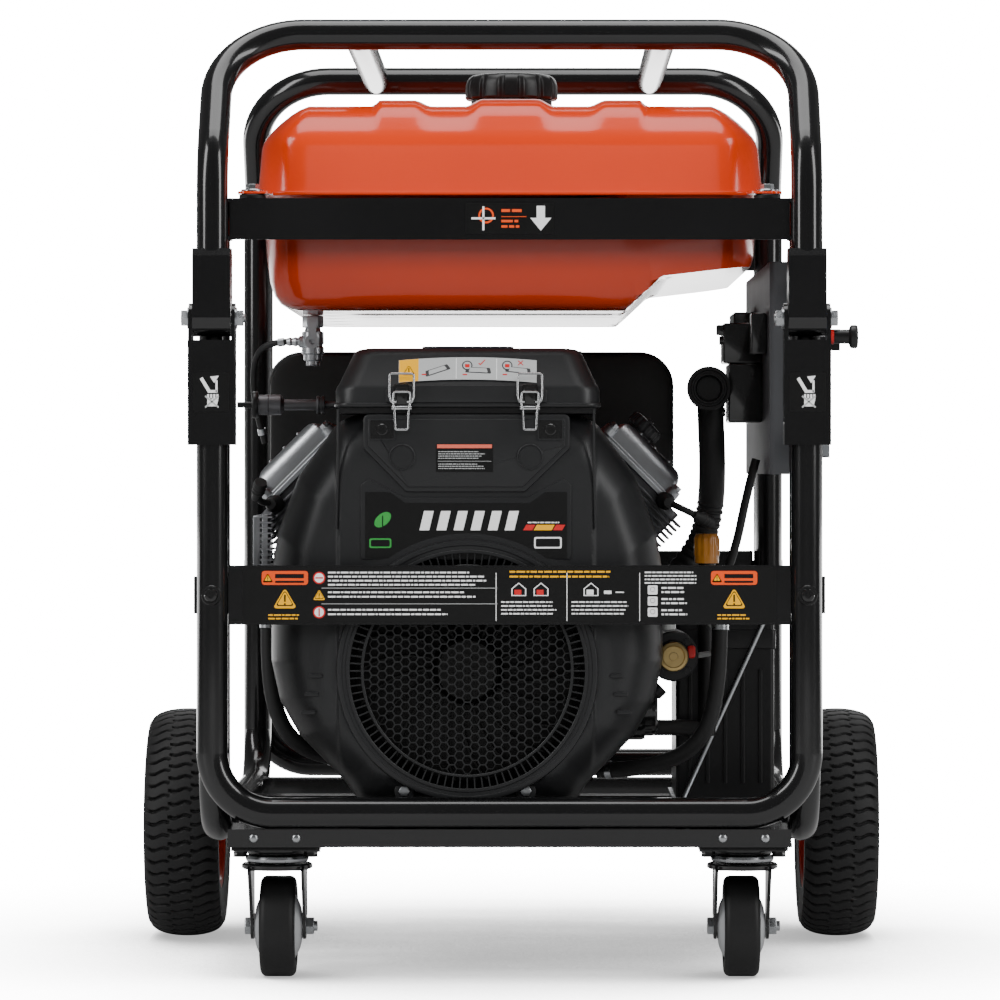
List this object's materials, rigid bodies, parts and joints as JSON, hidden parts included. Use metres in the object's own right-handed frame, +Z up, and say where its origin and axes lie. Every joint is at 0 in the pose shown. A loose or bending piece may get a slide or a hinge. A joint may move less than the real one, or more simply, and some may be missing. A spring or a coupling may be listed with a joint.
{
  "type": "portable generator",
  "caption": "Open-frame portable generator: tubular frame on wheels and casters, fuel tank on top, vee engine driving an alternator, folding handle and side panel.",
  "frame": {"origin": "centre of the bounding box, on the floor", "axes": "+Z up, +X to the right seen from the engine end, +Y from the engine end to the rear"},
  "size_m": [0.858, 0.93, 1.052],
  "materials": {
    "amber": "gloss",
    "cast_aluminium": "cast",
    "engine_black": "satin",
    "frame_black": "satin powder coat",
    "gloss_black": "gloss",
    "iron": "laminated",
    "moulded_black": "fine moulded grain",
    "panel_grey": "satin",
    "rim_red": "gloss",
    "rubber": "matt",
    "steel": "machined",
    "tank_orange": "gloss",
    "tyre_rubber": "moulded tread",
    "zinc": "zinc plated"
  },
  "bodies": {
    "frame": {"alternator_housing": "engine_black", "alternator_stator": "iron", "battery": "moulded_black", "battery_clamp": "frame_black", "blower_shroud": "moulded_black", "carburettor": "cast_aluminium", "caster_plates": "zinc", "crankcase": "cast_aluminium", "cross_members": "frame_black", "cylinder_heads": "cast_aluminium", "cylinders": "cast_aluminium", "fan_screen": "moulded_black", "filter_base": "moulded_black", "frame_bolts": "zinc", "front_frame": "frame_black", "fuel_valve": "cast_aluminium", "guard_bars": "frame_black", "head_covers": "cast_aluminium", "hinge_channels": "frame_black", "hoses": "rubber", "ignition_leads": "rubber", "muffler": "engine_black", "oil_filter": "engine_black", "panel_box": "panel_grey", "panel_sockets": "gloss_black", "rear_frame": "frame_black", "rubber_mounts": "rubber", "side_frame_left": "frame_black", "side_frame_right": "frame_black", "starter_motor": "engine_black", "tank_bars": "frame_black", "tank_lower": "tank_orange", "tank_upper": "tank_orange", "throttle_solenoid": "zinc", "top_rails": "frame_black", "voltage_regulator": "cast_aluminium", "wheel_axle": "zinc", "wiring_conduit": "rubber"},
    "handle": {"handle": "frame_black"},
    "lock_plunger": {"lock_plunger": "zinc"},
    "caster_fork_left": {"caster_fork_left": "frame_black"},
    "caster_fork_right": {"caster_fork_right": "frame_black"},
    "caster_wheel_left": {"caster_wheel_left": "rubber"},
    "caster_wheel_right": {"caster_wheel_right": "rubber"},
    "wheel_left": {"tyre_left": "tyre_rubber", "rim_left": "rim_red"},
    "wheel_right": {"tyre_right": "tyre_rubber", "rim_right": "rim_red"},
    "fuel_cap": {"fuel_cap": "moulded_black"},
    "fuel_lever": {"fuel_lever": "cast_aluminium"},
    "crank_train": {"crankshaft": "steel", "fan_flywheel": "moulded_black", "alternator_rotor": "iron"},
    "filter_cover": {"filter_cover": "moulded_black"},
    "latch_left": {"latch_left": "zinc"},
    "latch_right": {"latch_right": "zinc"},
    "dipstick": {"dipstick": "amber"},
    "key_switch": {"key_switch": "gloss_black"},
    "main_breaker": {"main_breaker": "gloss_black"},
    "socket_lid": {"socket_lid": "gloss_black"}
  },
  "joints": [
    {"name": "handle_fold", "type": "hinge", "parent": "frame", "child": "handle", "pos_m": [0, -0.44, 0.718], "axis": [1, 0, 0], "range_deg": [0, 90]},
    {"name": "lock_pull", "type": "slide", "parent": "frame", "child": "lock_plunger", "axis": [1, 0, 0], "range_m": [0, 0.009], "stiffness_N_per_m": 600, "springref_m": -0.005},
    {"name": "caster_swivel_left", "type": "hinge", "parent": "frame", "child": "caster_fork_left", "pos_m": [-0.253, -0.402, 0.125], "axis": [0, 0, 1], "continuous": true},
    {"name": "caster_roll_left", "type": "hinge", "parent": "caster_fork_left", "child": "caster_wheel_left", "pos_m": [-0.253, -0.37, 0.055], "axis": [1, 0, 0], "continuous": true},
    {"name": "wheel_spin_left", "type": "hinge", "parent": "frame", "child": "wheel_left", "pos_m": [-0.3855, 0.085, 0.135], "axis": [1, 0, 0], "continuous": true},
    {"name": "caster_swivel_right", "type": "hinge", "parent": "frame", "child": "caster_fork_right", "pos_m": [0.253, -0.402, 0.125], "axis": [0, 0, 1], "continuous": true},
    {"name": "caster_roll_right", "type": "hinge", "parent": "caster_fork_right", "child": "caster_wheel_right", "pos_m": [0.253, -0.37, 0.055], "axis": [1, 0, 0], "continuous": true},
    {"name": "wheel_spin_right", "type": "hinge", "parent": "frame", "child": "wheel_right", "pos_m": [0.3855, 0.085, 0.135], "axis": [1, 0, 0], "continuous": true},
    {"name": "cap_turn", "type": "hinge", "parent": "frame", "child": "fuel_cap", "pos_m": [0, 0, 0.99], "axis": [0, 0, 1], "range_deg": [0, 90]},
    {"name": "fuel_lever_turn", "type": "hinge", "parent": "frame", "child": "fuel_lever", "pos_m": [-0.226, -0.165, 0.7], "axis": [0, -1, 0], "range_deg": [0, 90]},
    {"name": "crank_spin", "type": "hinge", "parent": "frame", "child": "crank_train", "pos_m": [-0.046, 0, 0.336], "axis": [0, 1, 0], "continuous": true},
    {"name": "filter_cover_lift", "type": "slide", "parent": "frame", "child": "filter_cover", "axis": [0, 0, 1], "range_m": [0, 0.035]},
    {"name": "latch_left_swing", "type": "hinge", "parent": "filter_cover", "child": "latch_left", "pos_m": [-0.117, -0.42, 0.657], "axis": [-1, 0, 0], "range_deg": [0, 100]},
    {"name": "latch_right_swing", "type": "hinge", "parent": "filter_cover", "child": "latch_right", "pos_m": [0.022, -0.42, 0.657], "axis": [-1, 0, 0], "range_deg": [0, 100]},
    {"name": "dipstick_pull", "type": "slide", "parent": "frame", "child": "dipstick", "axis": [0, 0, 1], "range_m": [0, 0.12]},
    {"name": "key_turn", "type": "hinge", "parent": "frame", "child": "key_switch", "pos_m": [0.336, -0.235, 0.7], "axis": [1, 0, 0], "range_deg": [0, 90]},
    {"name": "breaker_tilt", "type": "hinge", "parent": "frame", "child": "main_breaker", "pos_m": [0.33, -0.16, 0.7], "axis": [0, 1, 0], "range_deg": [-15, 15]},
    {"name": "socket_lid_swing", "type": "hinge", "parent": "frame", "child": "socket_lid", "pos_m": [0.359, -0.06, 0.646], "axis": [0, -1, 0], "range_deg": [0, 110]}
  ]
}
